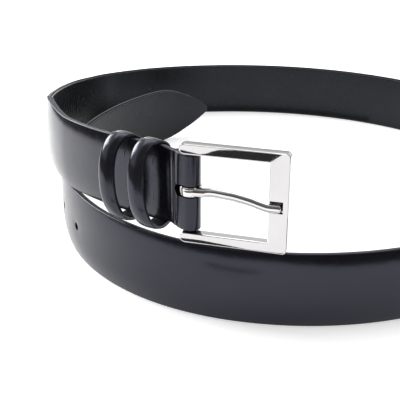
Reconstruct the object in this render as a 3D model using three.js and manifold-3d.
// A leather dress belt stored as a loose coil that stands on its edge.
// Millimetres, +Z up across the strap's width. The strap leaves the buckle along -X, goes once
// round the loop clockwise (seen from above) and carries on inside its own first turn to the
// pointed tip. The buckle end is stacked on the top edge of the lower turn.
import * as THREE from "three";
import { mergeVertices } from "three/addons/utils/BufferGeometryUtils.js";
import Module from "manifold-3d";

const wasm = await Module();
wasm.setup();

// ---------------------------------------------------------------- driving dimensions
const STRAP_WIDTH = 35;
const LINING_BACK = -1.3; // the lining's inner face, measured across the strap from its mid surface
const LINING_FRONT = -0.1;
const LINING_SHARE = 0.972; // the lining's share of the strap's width
const FACE_BACK = 0.05; // the face leather's inner side at the strap's edges
const FACE_EDGE = 1.5; // the face leather's outer side at the edges
const CROWN = 1.6; // how far the filler raises the middle of the face
const BUCKLE_END_Z = 41.3; // bottom edge of the strap at the fold
const STACK_SLOPE = 0.0724; // fall of the buckle end towards the left limb, per mm of strap
const STRAIGHT = 30; // straight stretch beside the fold
const ARC_RADIUS = 165; // radius of the stretch that the sliding keeper travels on
const ARC_END = 82;

const AXIS_BACK = 1.1; // heel bar axis, behind the strap's mid surface
const FOLD_INNER = 1.9;
const FOLD_OUTER = 4.3;
const TURNBACK_END = 46;
const TURNBACK_INNER = -1.6;
const TURNBACK_OUTER = -3.2;

const FOLD_HALF = 16.4; // half width of the strap where it goes round the heel bar
const FOLD_Z = 58.45; // mid height of the fold
const SLOT_HEIGHT = 5.0;
const SLOT_Z = 58.3;
const HOLE_RADIUS = 2.0;
const HOLE_STATIONS = [960.5, 985.5, 1010.5, 1035.5, 1060.5]; // 25 mm apart

const FRAME_Z = 57.55; // centre height of the buckle frame
const FRAME_HEIGHT = 44.4;
const FRAME_GAP = 35.4; // between the two arms
const FRAME_FRONT = 42.0; // heel axis to the outside of the front bar
const FRAME_INNER = 34.0; // heel axis to the inside of the front bar
const FRAME_END = 3.7; // the arms' reach behind the heel axis
const FRAME_THICK = 4.3;
const FRAME_OFFSET = 0.4; // the frame's back face, outward from the heel axis
const LUG_RADIUS = 2.6; // the arms' thickened ends that hold the heel bar
const BUCKLE_YAW = (23.4 * Math.PI) / 180;
const PIN_RADIUS = 1.6;
const EYE_INNER = 1.8;
const EYE_OUTER = 3.7;
const EYE_HEIGHT = 4.0;
const EYE_V = 0.75; // the eye's height above the frame's centre
const TIP_V = -1.55; // the tip's height below it

const KEEPER_WIDTH = 8.3;
const KEEPER_FIXED_AT = 17.4;
const KEEPER_LOOSE_AT = 33.8;
const KEEPER_FIXED_LIFT = -0.3; // the fixed keeper hangs a little low
const KEEPER_HALF = 18.3; // inside half height of a keeper
const KEEPER_BACK = -4.4; // inside of a keeper's back band
const KEEPER_BOW = 13.0; // inside of a keeper's bow at mid height
const KEEPER_ROUND = 2.5; // where the bow's curve starts

const THREAD_RADIUS = 0.35;
const THREAD_HOLE = 0.55;

// ---------------------------------------------------------------- solids
function toSolid(geometry) {
  const g = geometry.clone();
  g.deleteAttribute("normal");
  g.deleteAttribute("uv");
  const m = mergeVertices(g, 1e-4);
  const p = m.attributes.position.array;
  const t = new Uint32Array(m.index.array);
  let volume = 0;
  for (let i = 0; i < t.length; i += 3) {
    const a = 3 * t[i], b = 3 * t[i + 1], c = 3 * t[i + 2];
    volume +=
      p[a] * (p[b + 1] * p[c + 2] - p[b + 2] * p[c + 1]) +
      p[a + 1] * (p[b + 2] * p[c] - p[b] * p[c + 2]) +
      p[a + 2] * (p[b] * p[c + 1] - p[b + 1] * p[c]);
  }
  if (volume < 0)
    for (let i = 0; i < t.length; i += 3) [t[i + 1], t[i + 2]] = [t[i + 2], t[i + 1]];
  return new wasm.Manifold(new wasm.Mesh({ numProp: 3, vertProperties: p, triVerts: t }));
}

function toGeometry(solid) {
  const m = solid.getMesh();
  const v = new Float32Array(m.numVert * 3);
  for (let i = 0; i < m.numVert; i++)
    v.set(m.vertProperties.subarray(i * m.numProp, i * m.numProp + 3), 3 * i);
  const g = new THREE.BufferGeometry()
    .setAttribute("position", new THREE.BufferAttribute(v, 3))
    .setIndex(new THREE.BufferAttribute(new Uint32Array(m.triVerts), 1));
  g.computeVertexNormals();
  return g;
}

// Extrudes an outline (with an optional hole) over a number of stations, then carries every
// vertex to place(i, j): i is the outline point, j the station.
function loft(outline, hole, count, place) {
  const shape = new THREE.Shape(outline.map(([x, y]) => new THREE.Vector2(x, y)));
  if (hole) shape.holes.push(new THREE.Path(hole.map(([x, y]) => new THREE.Vector2(x, y))));
  const all = hole ? outline.concat(hole) : outline;
  const key = (x, y) => Math.round(x * 1000) + "," + Math.round(y * 1000);
  const index = new Map(all.map((p, i) => [key(p[0], p[1]), i]));
  const g = new THREE.ExtrudeGeometry(shape, {
    steps: count - 1,
    depth: count - 1,
    bevelEnabled: false,
    curveSegments: 1,
  });
  const pos = g.attributes.position;
  for (let k = 0; k < pos.count; k++) {
    const i = index.get(key(pos.getX(k), pos.getY(k)));
    const q = place(i, Math.round(pos.getZ(k)));
    pos.setXYZ(k, q.x, q.y, q.z);
  }
  return toSolid(g);
}

function cylinder(radius, from, to, sides) {
  const d = to.clone().sub(from);
  const g = new THREE.CylinderGeometry(radius, radius, d.length(), sides);
  g.applyQuaternion(
    new THREE.Quaternion().setFromUnitVectors(new THREE.Vector3(0, 1, 0), d.clone().normalize()),
  );
  const c = from.clone().add(to).multiplyScalar(0.5);
  g.translate(c.x, c.y, c.z);
  return toSolid(g);
}

// ---------------------------------------------------------------- the strap's path
// Bottom edge of the strap's mid surface: a straight stretch, an arc, then a smooth curve.
function startPath(s) {
  const drop = STACK_SLOPE;
  if (s <= STRAIGHT)
    return { x: -s, y: 0, z: BUCKLE_END_Z - drop * s, heading: Math.PI };
  const a = (s - STRAIGHT) / ARC_RADIUS;
  return {
    x: -STRAIGHT - ARC_RADIUS * Math.sin(a),
    y: ARC_RADIUS * (1 - Math.cos(a)),
    z: BUCKLE_END_Z - drop * STRAIGHT - drop * ARC_RADIUS * Math.sin(a),
    heading: Math.PI - a,
  };
}
const PLAN = [
  [-92.11, 12.91, 35.42], [-100.98, 17.85, 35.4], [-112.53, 25.78, 33.3], [-123.3, 34.59, 29.2],
  [-141.38, 51.7, 23.2], [-158.52, 69.95, 17.5], [-174.35, 89.26, 12.4], [-188.18, 110.29, 7.7],
  [-193.62, 121.01, 5.6], [-198.11, 133.33, 3.6], [-200.09, 146.45, 2.2], [-199.56, 158.38, 1.2],
  [-192.16, 181.08, 0.25], [-178.96, 201.12, 0], [-159.48, 221.4, 0], [-138.19, 238.31, 0],
  [-115.0, 252.13, 0], [-90.1, 262.55, 0], [-63.73, 269.22, 0], [-36.72, 271.55, 0],
  [-9.72, 268.63, 0], [15.82, 259.82, 0], [39.13, 245.67, 0], [59.25, 227.49, 0],
  [75.88, 205.97, 0], [88.22, 182.02, 0], [95.76, 156.0, 0], [98.15, 128.98, 0],
  [95.33, 101.86, 0], [87.49, 76.08, 0], [74.56, 52.06, 0], [57.14, 31.37, 0],
  [35.86, 14.61, 0], [11.7, 2.55, 0], [-14.75, -3.86, 0], [-41.79, -3.58, 0],
  [-67.95, 3.14, 0], [-91.95, 15.97, 0], [-112.25, 33.61, 0], [-128.81, 55.18, 0],
  [-141.03, 79.33, 0], [-148.65, 105.47, 0], [-151.02, 132.54, 0], [-147.48, 159.39, 0],
  [-137.6, 184.39, 0],
];
const lead = [58, 70, ARC_END].map((s) => startPath(s));
const curve = new THREE.CatmullRomCurve3(
  lead.map((p) => new THREE.Vector3(p.x, p.y, p.z)).concat(PLAN.map((p) => new THREE.Vector3(...p))),
  false,
  "centripetal",
);
// Dense samples of the curve with their plan length, which starts at the arc's end.
const samples = [];
{
  const n = 6000;
  let length = ARC_END;
  let last = null;
  for (let i = 0; i <= n; i++) {
    const u = (2 + ((PLAN.length + 3 - 1 - 2) * i) / n) / (PLAN.length + 3 - 1);
    const p = curve.getPoint(u);
    if (last) length += Math.hypot(p.x - last.x, p.y - last.y);
    samples.push({ s: length, x: p.x, y: p.y, z: Math.max(0, p.z) });
    last = p;
  }
}
const TOTAL = samples[samples.length - 1].s;
function pathAt(s) {
  if (s <= ARC_END) return startPath(s);
  let lo = 0, hi = samples.length - 1;
  while (hi - lo > 1) {
    const mid = (lo + hi) >> 1;
    if (samples[mid].s < s) lo = mid; else hi = mid;
  }
  const a = samples[lo], b = samples[hi];
  const f = Math.min(1, Math.max(0, (s - a.s) / (b.s - a.s)));
  const p0 = samples[Math.max(0, lo - 12)], p1 = samples[Math.min(samples.length - 1, hi + 12)];
  return {
    x: a.x + f * (b.x - a.x),
    y: a.y + f * (b.y - a.y),
    z: a.z + f * (b.z - a.z),
    heading: Math.atan2(p1.y - p0.y, p1.x - p0.x),
  };
}
const NECK_END = 14;
const NECK = [[0, FOLD_HALF], [6, FOLD_HALF], [9, 16.8], [12, 17.4], [NECK_END, 17.55]];
// Frame at a station: origin at the strap's mid height, tangent, outward normal, half width.
function frameAt(s) {
  const p = pathAt(s);
  const q = pathAt(Math.min(TOTAL, s + 0.5));
  const r = pathAt(Math.max(0, s - 0.5));
  const slope = (q.z - r.z) / Math.max(1e-6, Math.hypot(q.x - r.x, q.y - r.y));
  let half = (STRAP_WIDTH / 2) * Math.sqrt(1 + slope * slope);
  let mid = p.z + half;
  if (s < NECK_END) {
    // the strap narrows to pass between the buckle's arms
    half = table(NECK, s)[0];
    const end = pathAt(NECK_END);
    mid = lerp(FOLD_Z, end.z + (STRAP_WIDTH / 2) * Math.sqrt(1 + slope * slope), s / NECK_END);
  }
  return {
    p: new THREE.Vector3(p.x, p.y, mid),
    t: new THREE.Vector3(Math.cos(p.heading), Math.sin(p.heading), 0),
    n: new THREE.Vector3(-Math.sin(p.heading), Math.cos(p.heading), 0),
    half,
    slope,
  };
}
// The tip narrows over the last 38 mm.
const TIP = [[0, 0.035], [1.2, 0.13], [5, 0.3], [10.4, 0.5], [17, 0.69], [23.5, 0.85], [30, 0.95], [38, 1]];
function tipFactor(s) {
  const d = TOTAL - s;
  if (d >= 38) return 1;
  for (let i = 1; i < TIP.length; i++)
    if (d <= TIP[i][0]) {
      const f = (d - TIP[i - 1][0]) / (TIP[i][0] - TIP[i - 1][0]);
      return TIP[i - 1][1] + f * (TIP[i][1] - TIP[i - 1][1]);
    }
  return 1;
}
const crown = (u) => 1 - Math.pow(Math.min(1, Math.abs(u)), 3.5);
const lerp = (a, b, f) => a + (b - a) * f;
function table(rows, x) {
  if (x <= rows[0][0]) return rows[0].slice(1);
  for (let i = 1; i < rows.length; i++)
    if (x <= rows[i][0]) {
      const f = (x - rows[i - 1][0]) / (rows[i][0] - rows[i - 1][0]);
      return rows[i].slice(1).map((v, k) => lerp(rows[i - 1][k + 1], v, f));
    }
  return rows[rows.length - 1].slice(1);
}

// Stations along the strap from the fold to the tip.
const stations = [];
{
  for (const s of [6, 9, 12, 14, 16, 22, 30, 39, 48, 57, 66, 75, 82]) stations.push(s);
  let s = 82;
  while (s < TOTAL - 50) {
    s += s > 232 && s < 320 ? 9 : 13;
    if (s < TOTAL - 44) stations.push(s);
  }
  for (const d of [38, 30, 23.5, 17, 10.4, 5, 1.2, 0]) stations.push(TOTAL - d);
}

// ---------------------------------------------------------------- face leather
// One skin from the tip to the fold, round the heel bar and back behind the lining.
const FACE_OUT = [-1, -0.9, -0.7, -0.35, 0.35, 0.7, 0.9, 1];
const FACE_IN = [1, 0.7, 0.35, -0.35, -0.7, -1];
const faceOutline = FACE_OUT.map((v) => [v * 10, 5]).concat(FACE_IN.map((v) => [v * 10, -5]));
// [station, inner offset, crown share inside, outer offset, crown share outside]
const FOLD_FRONT = [
  [0, 0.8, 0, 3.2, 0],
  [3, 0.55, 0, 2.75, 0],
  [6, 0.3, 0, 2.15, 0.1],
  [9, 0.12, 0.35, 1.7, 0.5],
  [12, FACE_BACK, 1, FACE_EDGE, 1],
];
// [station, inner offset, outer offset, share of the width]
const FOLD_BACK = [
  [0, -3.0, -5.4, 1],
  [3, -2.45, -4.5, 1],
  [6, -1.85, -3.6, 0.98],
  [9, TURNBACK_INNER, TURNBACK_OUTER, 0.93],
  [12, TURNBACK_INNER, TURNBACK_OUTER, 0.88],
  [TURNBACK_END - 10, TURNBACK_INNER, TURNBACK_OUTER, 0.88],
  [TURNBACK_END, TURNBACK_INNER, TURNBACK_INNER - 0.7, 0.86],
];
const faceStations = [];
for (const s of [TURNBACK_END, 39, 30, 22, 16, 12, 9, 6, 3]) faceStations.push({ kind: "back", s });
for (const a of [180, 150, 120, 90, 60, 30, 0]) faceStations.push({ kind: "fold", a: (a * Math.PI) / 180 });
for (const s of [3, ...stations]) faceStations.push({ kind: "front", s });

const face = loft(faceOutline, null, faceStations.length, (i, j) => {
  const st = faceStations[j];
  const outer = i < FACE_OUT.length;
  const u = outer ? FACE_OUT[i] : FACE_IN[i - FACE_OUT.length];
  if (st.kind === "fold") {
    const f = frameAt(0);
    const r = outer ? FOLD_OUTER : FOLD_INNER;
    // angle 0 faces outward (-Y), 90 degrees faces the buckle (+X)
    return new THREE.Vector3(r * Math.sin(st.a), AXIS_BACK - r * Math.cos(st.a), f.p.z + u * f.half);
  }
  const f = frameAt(st.s);
  const c = crown(u);
  let n;
  if (st.kind === "back") {
    const [inner, out, share] = table(FOLD_BACK, st.s);
    n = outer ? out : inner;
    return f.p.clone().addScaledVector(f.n, n).add(new THREE.Vector3(0, 0, u * f.half * share));
  } else {
    const [inner, ci, out, co] = table(FOLD_FRONT, st.s);
    n = outer ? out + co * CROWN * c : inner + ci * (CROWN - 0.05) * c;
    const k = tipFactor(st.s);
    if (k < 1) n = outer ? lerp(1.3, n, Math.min(1, k * 1.4)) : lerp(FACE_BACK, n, Math.max(0, (k - 0.6) / 0.4));
    return f.p.clone().addScaledVector(f.n, n).add(new THREE.Vector3(0, 0, u * f.half * k));
  }
  return f.p.clone().addScaledVector(f.n, n).add(new THREE.Vector3(0, 0, u * f.half));
});

// ---------------------------------------------------------------- filler and lining
const CORE_V = [-0.886, -0.7, -0.35, 0.35, 0.7, 0.886];
const coreOutline = CORE_V.map((v) => [v * 10, 5]).concat([[8.86, -5], [-8.86, -5]]);
const coreStations = stations.filter((s) => s >= 14 && s <= TOTAL - 30);
const core = loft(coreOutline, null, coreStations.length, (i, j) => {
  const s = coreStations[j];
  const f = frameAt(s);
  const top = i < CORE_V.length;
  const u = top ? CORE_V[i] : i === CORE_V.length ? 0.886 : -0.886;
  const k = tipFactor(s);
  let n = 0.02;
  if (top) {
    n = FACE_BACK + (CROWN - 0.05) * crown(u) - 0.15;
    if (Math.abs(u) > 0.8) n = 0.3;
    if (k < 1) n = lerp(0.02, n, Math.max(0.15, (k - 0.62) / 0.42));
  }
  return f.p.clone().addScaledVector(f.n, n).add(new THREE.Vector3(0, 0, u * f.half * k));
});

const liningStations = [8, ...stations.filter((s) => s > 8)];
liningStations[liningStations.length - 1] = TOTAL - 0.4;
const lining = loft(
  [[-9.9, 1], [9.9, 1], [9.9, -1], [-9.9, -1]],
  null,
  liningStations.length,
  (i, j) => {
    const f = frameAt(liningStations[j]);
    const k = tipFactor(liningStations[j]);
    const u = i === 0 || i === 3 ? -LINING_SHARE : LINING_SHARE;
    return f.p
      .clone()
      .addScaledVector(f.n, i < 2 ? LINING_FRONT : LINING_BACK)
      .add(new THREE.Vector3(0, 0, u * f.half * k));
  },
);

// ---------------------------------------------------------------- cutters
const holes = HOLE_STATIONS.map((s) => {
  const f = frameAt(s);
  return cylinder(
    HOLE_RADIUS,
    f.p.clone().addScaledVector(f.n, -4),
    f.p.clone().addScaledVector(f.n, 6),
    12,
  );
});
const slot = (() => {
  const g = new THREE.BoxGeometry(11.2, 14, SLOT_HEIGHT);
  g.translate(0.4, AXIS_BACK, SLOT_Z);
  return toSolid(g);
})();

// A running stitch up the strap's width: short runs on the front and the back joined by legs.
const STITCH_V = [-12, -8, -4, 0, 4, 8, 12];
function stitchRow(s, front, back) {
  const f = frameAt(s);
  const at = (v, n) => f.p.clone().addScaledVector(f.n, n).add(new THREE.Vector3(0, 0, v));
  let thread = null;
  const cuts = [];
  const add = (piece) => (thread = thread ? thread.add(piece) : piece);
  STITCH_V.forEach((v, i) => {
    add(cylinder(THREAD_RADIUS, at(v, back - THREAD_RADIUS), at(v, front + THREAD_RADIUS), 6));
    cuts.push(cylinder(THREAD_HOLE, at(v, back - 3), at(v, front + 3), 6));
    if (i < STITCH_V.length - 1) {
      const n = i % 2 ? back : front;
      add(cylinder(THREAD_RADIUS, at(v - 0.35, n), at(STITCH_V[i + 1] + 0.35, n), 6));
    }
  });
  return { thread, cuts };
}
const KEEPER_WALL = 1.1;
const rowFixed = stitchRow(KEEPER_FIXED_AT, 3.62, KEEPER_BACK - KEEPER_WALL - 0.5);
const rowTurnback = stitchRow(KEEPER_LOOSE_AT, 3.62, TURNBACK_OUTER - 0.4);

const cutAll = (solid, cuts) => cuts.reduce((a, c) => a.subtract(c), solid);
const threadCuts = rowFixed.cuts.concat(rowTurnback.cuts);
const strapFace = cutAll(face, [...holes, slot, ...threadCuts]);
const strapCore = cutAll(core, [...holes, ...threadCuts]);
const strapLining = cutAll(lining, [...holes, ...threadCuts]);

// ---------------------------------------------------------------- keepers
// A keeper is a flat strap loop: a straight back, short sides and a wide bow in front.
const RING = [];
{
  const h = KEEPER_HALF, b = KEEPER_BACK;
  RING.push([-h + 3.8, b], [0, b], [h - 3.8, b], [h - 2.8, b + 0.4], [h - 1.4, -2.5], [h - 0.35, -0.6], [h, 0.9]);
  const n = 13;
  for (let i = 0; i <= n; i++) {
    const a = (Math.PI * (i + 0.6)) / (n + 1.2);
    const c = Math.cos(a), s = Math.sin(a);
    RING.push([
      h * Math.sign(c) * Math.pow(Math.abs(c), 0.92),
      KEEPER_ROUND + (KEEPER_BOW - KEEPER_ROUND) * Math.pow(s, 0.92),
    ]);
  }
  RING.push([-h, 0.9], [-h + 0.35, -0.6], [-h + 1.4, -2.5], [-h + 2.8, b + 0.4]);
}
const ringNormal = RING.map((p, i) => {
  const a = RING[(i + RING.length - 1) % RING.length], b = RING[(i + 1) % RING.length];
  const dx = b[0] - a[0], dy = b[1] - a[1], l = Math.hypot(dx, dy);
  return [dy / l, -dx / l];
});
// share of the padding at a ring point: none at the back, full over the bow, thin below
const padShare = RING.map(([v, n]) => {
  if (n < KEEPER_ROUND + 0.3) return v > 0 && n > 0 ? 0.2 : 0;
  const w = v / KEEPER_HALF;
  return w > 0 ? 1 - 0.35 * Math.pow(w, 4) : Math.max(0.15, 1 - Math.pow(-w, 2.4));
});
const BACKING = 0.6, COVER = 0.9, SKIN = 0.1, PAD = 2.1;
// the leathers are pared thinner where the loop passes behind the strap
const pared = RING.map(([, n]) => (n > KEEPER_ROUND ? 1 : n > 0 ? 0.8 : 0.65));
function keeperFrame(s) {
  const f = frameAt(s);
  const c = 1 / Math.sqrt(1 + f.slope * f.slope), d = f.slope * c;
  return {
    p: f.p,
    t: new THREE.Vector3(f.t.x * c, f.t.y * c, d),
    v: new THREE.Vector3(-f.t.x * d, -f.t.y * d, c),
    n: f.n,
  };
}
function ringPlace(f, u, i, offset) {
  const [v, n] = RING[i], [mv, mn] = ringNormal[i];
  return f.p
    .clone()
    .addScaledVector(f.t, u)
    .addScaledVector(f.v, v + mv * offset)
    .addScaledVector(f.n, n + mn * offset);
}
function keeper(s, lift, cuts, stapled) {
  const f = keeperFrame(s);
  f.p.z += lift;
  const outer = RING.map(([v, n], i) => [v + 3 * ringNormal[i][0], n + 3 * ringNormal[i][1]]);
  const half = KEEPER_WIDTH / 2;
  const N = RING.length;
  const backing = loft(outer, RING, 2, (i, j) =>
    ringPlace(f, (j ? 1 : -1) * (half - 0.5), i % N, i < N ? BACKING * pared[i] : 0),
  );
  const U = [-1, -0.72, -0.3, 0.3, 0.72, 1];
  const dome = (u) => 1 - Math.pow(Math.abs(u), 2.4);
  const under = (i, u) => BACKING * pared[i] + SKIN + padShare[i] * (PAD + SKIN) * dome(u);
  const cover = loft(outer, RING, U.length, (i, j) =>
    ringPlace(f, U[j] * half, i % N, i < N ? under(i % N, U[j]) + COVER * pared[i % N] * (Math.abs(U[j]) === 1 ? 0.75 : 1) : under(i % N, U[j])),
  );
  // the pad follows the bow between its ends
  const bow = RING.map((_, i) => i).filter((i) => padShare[i] > 0.35);
  const padOutline = bow.map((i) => outer[i]).concat([...bow].reverse().map((i) => RING[i]));
  const P = [-0.72, -0.3, 0.3, 0.72];
  const pad = loft(padOutline, null, P.length, (i, j) => {
    const k = i < bow.length ? bow[i] : bow[2 * bow.length - 1 - i];
    const top = BACKING + SKIN + Math.max(0.12, padShare[k] * (PAD + SKIN) * dome(P[j]) - SKIN);
    return ringPlace(f, P[j] * half, k, i < bow.length ? top : BACKING + SKIN);
  });
  let staple = null;
  const extra = [];
  if (stapled) {
    const at = (u, v, n) =>
      f.p.clone().addScaledVector(f.t, u).addScaledVector(f.v, v).addScaledVector(f.n, n);
    const out = KEEPER_BACK - KEEPER_WALL - 0.42;
    staple = cylinder(0.3, at(0, -4.3, out), at(0, 4.3, out), 6);
    for (const v of [-4, 4]) {
      staple = staple.add(cylinder(0.3, at(0, v, out - 0.3), at(0, v, KEEPER_BACK - 0.15), 6));
      extra.push(cylinder(0.5, at(0, v, out - 2), at(0, v, KEEPER_BACK + 1), 6));
    }
  }
  const all = cuts.concat(extra);
  return { backing: cutAll(backing, all), cover: cutAll(cover, all), pad, staple };
}
const backCuts = rowFixed.cuts.map((_, i) => {
  const f = frameAt(KEEPER_FIXED_AT);
  const at = (n) => f.p.clone().addScaledVector(f.n, n).add(new THREE.Vector3(0, 0, STITCH_V[i]));
  return cylinder(THREAD_HOLE, at(KEEPER_BACK - 4), at(KEEPER_BACK + 1.5), 6);
});
const keeperFixed = keeper(KEEPER_FIXED_AT, KEEPER_FIXED_LIFT, backCuts, false);
const keeperLoose = keeper(KEEPER_LOOSE_AT, 0, [], true);

// ---------------------------------------------------------------- buckle
// Local axes: u from the heel bar to the front bar, v up, w outward; turned about the heel axis.
const du = new THREE.Vector3(Math.cos(BUCKLE_YAW), Math.sin(BUCKLE_YAW), 0);
const dw = new THREE.Vector3(Math.sin(BUCKLE_YAW), -Math.cos(BUCKLE_YAW), 0);
const heel = new THREE.Vector3(0, AXIS_BACK, FRAME_Z);
const buckleAt = (u, v, w) =>
  heel.clone().addScaledVector(du, u).addScaledVector(dw, w).add(new THREE.Vector3(0, 0, v));
const toBuckle = new THREE.Matrix4()
  .makeBasis(du, new THREE.Vector3(0, 0, 1), dw)
  .setPosition(heel);

const H = FRAME_HEIGHT / 2, G = FRAME_GAP / 2, ARM = H - G;
const frameShape = new THREE.Shape();
{
  const r = ARM / 2, e = -FRAME_END + r, R = 1.4;
  frameShape.moveTo(e, H);
  frameShape.lineTo(FRAME_FRONT - R, H);
  frameShape.quadraticCurveTo(FRAME_FRONT, H, FRAME_FRONT, H - R);
  frameShape.lineTo(FRAME_FRONT, -H + R);
  frameShape.quadraticCurveTo(FRAME_FRONT, -H, FRAME_FRONT - R, -H);
  frameShape.lineTo(e, -H);
  frameShape.absarc(e, -H + r, r, -Math.PI / 2, Math.PI / 2, true);
  frameShape.lineTo(FRAME_INNER, -G);
  frameShape.lineTo(FRAME_INNER, G);
  frameShape.lineTo(e, G);
  frameShape.absarc(e, H - r, r, -Math.PI / 2, Math.PI / 2, true);
}
const frameBevel = 0.9;
const frameGeometry = new THREE.ExtrudeGeometry(frameShape, {
  depth: FRAME_THICK - 2 * frameBevel,
  steps: 1,
  curveSegments: 5,
  bevelEnabled: true,
  bevelThickness: frameBevel,
  bevelSize: 0.8,
  bevelOffset: -0.8,
  bevelSegments: 2,
});
frameGeometry.translate(0, 0, FRAME_OFFSET + frameBevel);
frameGeometry.applyMatrix4(toBuckle);
const pinHoleTop = cylinder(PIN_RADIUS + 0.15, buckleAt(0, G - 1, 0), buckleAt(0, G + 2.3, 0), 14);
const pinHoleLow = cylinder(PIN_RADIUS + 0.15, buckleAt(0, -G + 1, 0), buckleAt(0, -G - 2.3, 0), 14);
const notchGeometry = new THREE.BoxGeometry(6.4, 5.4, 4);
notchGeometry.translate(FRAME_INNER - 0.6 + 3.2, TIP_V + 0.3, FRAME_OFFSET + FRAME_THICK - 1.2 + 2);
notchGeometry.applyMatrix4(toBuckle);
const lugTop = cylinder(LUG_RADIUS, buckleAt(0, G + 0.01, 0), buckleAt(0, H - 1.6, 0), 18);
const lugLow = cylinder(LUG_RADIUS, buckleAt(0, -G - 0.01, 0), buckleAt(0, -H + 1.6, 0), 18);
const buckleFrame = toSolid(frameGeometry)
  .add(lugTop)
  .add(lugLow)
  .subtract(pinHoleTop)
  .subtract(pinHoleLow)
  .subtract(toSolid(notchGeometry));
const heelBar = cylinder(PIN_RADIUS, buckleAt(0, -G - 2.1, 0), buckleAt(0, G + 2.1, 0), 14);

// Prong: an eye round the heel bar and a shank that steps out and down to rest on the front bar.
const eyeGeometry = new THREE.LatheGeometry(
  [
    new THREE.Vector2(EYE_INNER, -EYE_HEIGHT / 2),
    new THREE.Vector2(EYE_OUTER - 0.7, -EYE_HEIGHT / 2),
    new THREE.Vector2(EYE_OUTER, -EYE_HEIGHT / 2 + 0.7),
    new THREE.Vector2(EYE_OUTER, EYE_HEIGHT / 2 - 0.7),
    new THREE.Vector2(EYE_OUTER - 0.7, EYE_HEIGHT / 2),
    new THREE.Vector2(EYE_INNER, EYE_HEIGHT / 2),
    new THREE.Vector2(EYE_INNER, -EYE_HEIGHT / 2),
  ],
  18,
);
eyeGeometry.rotateX(Math.PI / 2);
eyeGeometry.translate(heel.x, heel.y, heel.z + EYE_V);
// [u, w, v, half height, half thickness]
const SHANK = [
  [2.4, 0.6, EYE_V, 1.9, 1.4],
  [5, 1.5, 0.85, 1.95, 1.5],
  [7.5, 2.4, 1.05, 1.9, 1.35],
  [12, 3.6, 1.3, 1.85, 1.3],
  [18, 4.6, 1.0, 1.85, 1.3],
  [23, 5.05, 0.15, 1.85, 1.3],
  [27, 5.25, -0.8, 1.85, 1.3],
  [30.5, 5.25, -1.6, 1.85, 1.3],
  [34.5, 5.2, -1.7, 1.85, 1.3],
  [39.2, 5.15, TIP_V, 1.8, 1.25],
];
const OCT = [];
for (let i = 0; i < 10; i++) {
  const a = ((i + 0.5) * Math.PI) / 5;
  const c = Math.cos(a), s = Math.sin(a);
  OCT.push([Math.sign(c) * Math.pow(Math.abs(c), 0.7), Math.sign(s) * Math.pow(Math.abs(s), 0.7)]);
}
const shank = loft(OCT, null, SHANK.length, (i, j) => {
  const [u, w, v, hv, hw] = SHANK[j];
  return buckleAt(u, v + OCT[i][0] * hv, w + OCT[i][1] * hw);
});
const eyeBore = cylinder(EYE_INNER, buckleAt(0, EYE_V - 6, 0), buckleAt(0, EYE_V + 6, 0), 18);
const prong = toSolid(eyeGeometry).add(shank).subtract(eyeBore);

// ---------------------------------------------------------------- scene graph
const leather = (color, roughness) =>
  new THREE.MeshStandardMaterial({ color, roughness, metalness: 0 });
const chrome = new THREE.MeshStandardMaterial({ color: 0xdfe0e4, roughness: 0.08, metalness: 1 });
const steel = new THREE.MeshStandardMaterial({ color: 0xb4b6ba, roughness: 0.3, metalness: 1 });
const group = new THREE.Group();
group.name = "leather_belt";
function put(name, solid, material) {
  const mesh = new THREE.Mesh(toGeometry(solid), material);
  mesh.name = name;
  group.add(mesh);
  return mesh;
}
put("strap_face_leather", strapFace, leather(0x23232b, 0.28));
put("strap_filler", strapCore, leather(0x3a3128, 0.9));
put("strap_lining", strapLining, leather(0x2b2c31, 0.5));
put("stitching_under_fixed_keeper", rowFixed.thread, leather(0x101014, 0.7));
put("stitching_turnback", rowTurnback.thread, leather(0x101014, 0.7));
put("fixed_keeper_cover", keeperFixed.cover, leather(0x202028, 0.25));
put("fixed_keeper_padding", keeperFixed.pad, leather(0x4a4138, 0.95));
put("fixed_keeper_backing", keeperFixed.backing, leather(0x1a1a1e, 0.5));
put("sliding_keeper_cover", keeperLoose.cover, leather(0x202028, 0.25));
put("sliding_keeper_padding", keeperLoose.pad, leather(0x4a4138, 0.95));
put("sliding_keeper_backing", keeperLoose.backing, leather(0x1a1a1e, 0.5));
put("sliding_keeper_staple", keeperLoose.staple, steel);
put("buckle_frame", buckleFrame, chrome);
put("buckle_heel_bar", heelBar, steel);
put("buckle_prong", prong, chrome);

// The frame's origin is the middle of the coil's footprint, on the surface it stands on.
export const ORIGIN = new THREE.Vector3();
new THREE.Box3().setFromObject(group).getCenter(ORIGIN);
ORIGIN.z = 0;
for (const mesh of group.children) mesh.geometry.translate(-ORIGIN.x, -ORIGIN.y, 0);

export default group;
